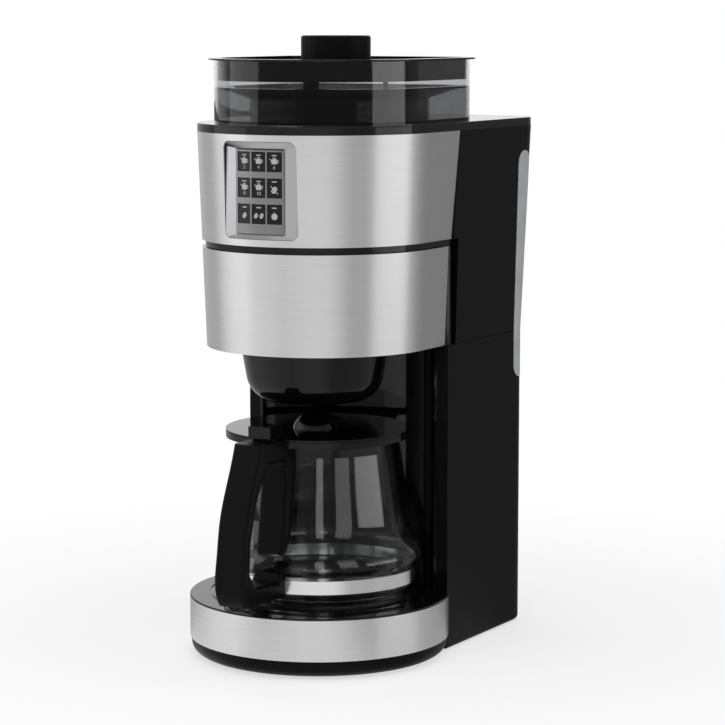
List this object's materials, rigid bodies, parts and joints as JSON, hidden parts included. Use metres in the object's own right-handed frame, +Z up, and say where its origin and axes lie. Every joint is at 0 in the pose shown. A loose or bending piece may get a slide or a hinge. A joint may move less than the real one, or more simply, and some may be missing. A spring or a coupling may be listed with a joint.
{
  "type": "grind and brew coffee maker",
  "caption": "Drip coffee maker with a built-in burr grinder, bean hopper, swing-out brewing door, key panel and glass carafe on a warming plate.",
  "frame": {"origin": "on the floor under the middle of the whole machine, carafe handle included", "axes": "+Z up, -Y to the front where the user stands, +X to the machine's right side seen from the front"},
  "size_m": [0.185, 0.2986, 0.437],
  "materials": {
    "steel_band": "brushed, satin",
    "satin_black": "fine satin texture",
    "gloss_black": "polished",
    "clear_plastic": "polished, clear",
    "smoke_plastic": "polished, smoke grey",
    "carafe_glass": "polished, clear",
    "chrome_trim": "polished",
    "bezel_grey": "brushed, dark",
    "rubber": "matt",
    "enamel": "non-stick coating",
    "heater_metal": "drawn",
    "mesh_steel": "perforated",
    "plain_steel": "plated",
    "burr_steel": "ground",
    "gear_nylon": "moulded",
    "tank_plastic": "translucent grey",
    "window_plastic": "translucent light grey",
    "circuit_board": "lacquered",
    "tube_silicone": "translucent"
  },
  "bodies": {
    "housing": {"feet": "rubber", "bottom_cover": "satin_black", "base_pan": "satin_black", "base_band": "steel_band", "base_deck": "gloss_black", "warming_plate": "enamel", "heater_element": "heater_metal", "column_shell": "satin_black", "recess_panel": "gloss_black", "rear_cover": "satin_black", "cord_gland": "rubber", "head_floor": "satin_black", "head_shell": "satin_black", "upper_band": "steel_band", "band_carrier": "gloss_black", "top_plate": "gloss_black", "tank_lid_pin": "plain_steel", "water_tank": "tank_plastic", "tank_windows": "window_plastic", "hopper": "clear_plastic", "hopper_funnel": "smoke_plastic", "grinder_motor": "plain_steel", "grinder_housing": "gloss_black", "door_pin": "plain_steel", "shower_head": "satin_black", "hot_water_tube": "tube_silicone", "panel_frame": "steel_band", "key_bezel": "bezel_grey", "control_board": "circuit_board", "screws": "plain_steel"},
    "tank_cover": {"tank_lid": "gloss_black"},
    "hopper_cover": {"hopper_lid": "gloss_black"},
    "grind_dial": {"grind_knob": "satin_black", "knob_fork": "satin_black"},
    "burr_ring": {"burr_carrier": "satin_black", "upper_burr": "burr_steel"},
    "burr_spindle": {"burr_gear": "gear_nylon", "lower_burr": "burr_steel"},
    "drive_pinion": {"motor_pinion": "plain_steel"},
    "door": {"door_band": "steel_band", "door_shell": "gloss_black"},
    "basket": {"filter_basket": "gloss_black", "drip_spring": "plain_steel"},
    "filter": {"mesh_filter": "mesh_steel"},
    "drip_stop": {"drip_valve": "rubber"},
    "carafe": {"carafe_glass": "carafe_glass", "carafe_band": "chrome_trim", "carafe_collar": "gloss_black", "carafe_handle": "satin_black", "lid_pin": "plain_steel"},
    "carafe_cover": {"carafe_lid": "gloss_black"},
    "button_1_1": {"key_1_1": "gloss_black"},
    "button_1_2": {"key_1_2": "gloss_black"},
    "button_1_3": {"key_1_3": "gloss_black"},
    "button_2_1": {"key_2_1": "gloss_black"},
    "button_2_2": {"key_2_2": "gloss_black"},
    "button_2_3": {"key_2_3": "gloss_black"},
    "button_3_1": {"key_3_1": "gloss_black"},
    "button_3_2": {"key_3_2": "gloss_black"},
    "button_3_3": {"key_3_3": "gloss_black"}
  },
  "joints": [
    {"name": "tank_lid_hinge", "type": "hinge", "parent": "housing", "child": "tank_cover", "pos_m": [0, 0.14025, 0.3756], "axis": [-1, 0, 0], "range_deg": [0, 100]},
    {"name": "hopper_lid_lift", "type": "slide", "parent": "housing", "child": "hopper_cover", "axis": [0, 0, 1], "range_m": [0, 0.06]},
    {"name": "grind_knob_turn", "type": "hinge", "parent": "hopper_cover", "child": "grind_dial", "pos_m": [0, -0.00425, 0.428], "axis": [0, 0, 1], "range_deg": [-150, 150]},
    {"name": "burr_ring_turn", "type": "hinge", "parent": "housing", "child": "burr_ring", "pos_m": [0, -0.00425, 0.39], "axis": [0, 0, 1], "range_deg": [-150, 150]},
    {"name": "burr_spin", "type": "hinge", "parent": "housing", "child": "burr_spindle", "pos_m": [0, -0.00425, 0.33], "axis": [0, 0, 1], "continuous": true},
    {"name": "pinion_spin", "type": "hinge", "parent": "housing", "child": "drive_pinion", "pos_m": [0, 0.04075, 0.33], "axis": [0, 0, 1], "continuous": true},
    {"name": "door_hinge", "type": "hinge", "parent": "housing", "child": "door", "pos_m": [0.077, 0.01425, 0.25], "axis": [0, 0, 1], "range_deg": [0, 90]},
    {"name": "basket_lift", "type": "slide", "parent": "door", "child": "basket", "axis": [0, 0, 1], "range_m": [0, 0.008]},
    {"name": "filter_lift", "type": "slide", "parent": "basket", "child": "filter", "axis": [0, 0, 1], "range_m": [0, 0.007]},
    {"name": "drip_stop_lift", "type": "slide", "parent": "basket", "child": "drip_stop", "axis": [0, 0, 1], "range_m": [0, 0.0025], "stiffness_N_per_m": 150, "springref_m": -0.002, "deforming": ["drip_spring"]},
    {"name": "carafe_slide", "type": "slide", "parent": "housing", "child": "carafe", "axis": [0, -1, 0], "range_m": [0, 0.18]},
    {"name": "carafe_lid_hinge", "type": "hinge", "parent": "carafe", "child": "carafe_cover", "pos_m": [0, -0.10075, 0.1588], "axis": [1, 0, 0], "range_deg": [0, 3]},
    {"name": "key_1_1_press", "type": "slide", "parent": "housing", "child": "button_1_1", "axis": [0, 1, 0], "range_m": [0, 0.001], "stiffness_N_per_m": 300, "springref_m": -0.001},
    {"name": "key_1_2_press", "type": "slide", "parent": "housing", "child": "button_1_2", "axis": [0, 1, 0], "range_m": [0, 0.001], "stiffness_N_per_m": 300, "springref_m": -0.001},
    {"name": "key_1_3_press", "type": "slide", "parent": "housing", "child": "button_1_3", "axis": [0, 1, 0], "range_m": [0, 0.001], "stiffness_N_per_m": 300, "springref_m": -0.001},
    {"name": "key_2_1_press", "type": "slide", "parent": "housing", "child": "button_2_1", "axis": [0, 1, 0], "range_m": [0, 0.001], "stiffness_N_per_m": 300, "springref_m": -0.001},
    {"name": "key_2_2_press", "type": "slide", "parent": "housing", "child": "button_2_2", "axis": [0, 1, 0], "range_m": [0, 0.001], "stiffness_N_per_m": 300, "springref_m": -0.001},
    {"name": "key_2_3_press", "type": "slide", "parent": "housing", "child": "button_2_3", "axis": [0, 1, 0], "range_m": [0, 0.001], "stiffness_N_per_m": 300, "springref_m": -0.001},
    {"name": "key_3_1_press", "type": "slide", "parent": "housing", "child": "button_3_1", "axis": [0, 1, 0], "range_m": [0, 0.001], "stiffness_N_per_m": 300, "springref_m": -0.001},
    {"name": "key_3_2_press", "type": "slide", "parent": "housing", "child": "button_3_2", "axis": [0, 1, 0], "range_m": [0, 0.001], "stiffness_N_per_m": 300, "springref_m": -0.001},
    {"name": "key_3_3_press", "type": "slide", "parent": "housing", "child": "button_3_3", "axis": [0, 1, 0], "range_m": [0, 0.001], "stiffness_N_per_m": 300, "springref_m": -0.001}
  ],
  "couplings": [
    {"joint": "burr_ring_turn", "follows": "grind_knob_turn", "ratio": 1},
    {"joint": "pinion_spin", "follows": "burr_spin", "ratio": -4}
  ]
}
